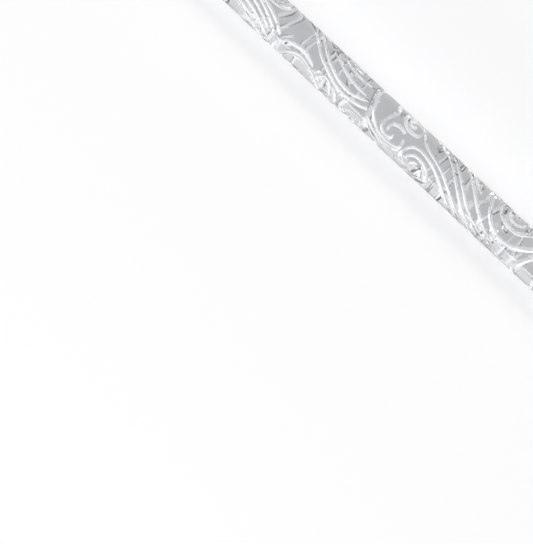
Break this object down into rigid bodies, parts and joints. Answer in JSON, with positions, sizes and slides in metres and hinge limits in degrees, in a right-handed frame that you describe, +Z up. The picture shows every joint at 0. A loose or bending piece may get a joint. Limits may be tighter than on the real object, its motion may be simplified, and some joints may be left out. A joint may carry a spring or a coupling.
{
  "type": "textured acrylic rolling pin",
  "caption": "Solid clear acrylic rod with flat ends, engraved all over with a wave and cloud scroll, for pressing relief into clay, dough or fondant.",
  "frame": {"origin": "centre of the rod, half way along its axis", "axes": "+X along the rod's axis, +Z up, square to the surface that the rod lies on"},
  "size_m": [0.33, 0.02, 0.02],
  "materials": {
    "clear_acrylic": "polished clear, see-through"
  },
  "bodies": {
    "root": {"textured_rod": "clear_acrylic"}
  },
  "joints": []
}
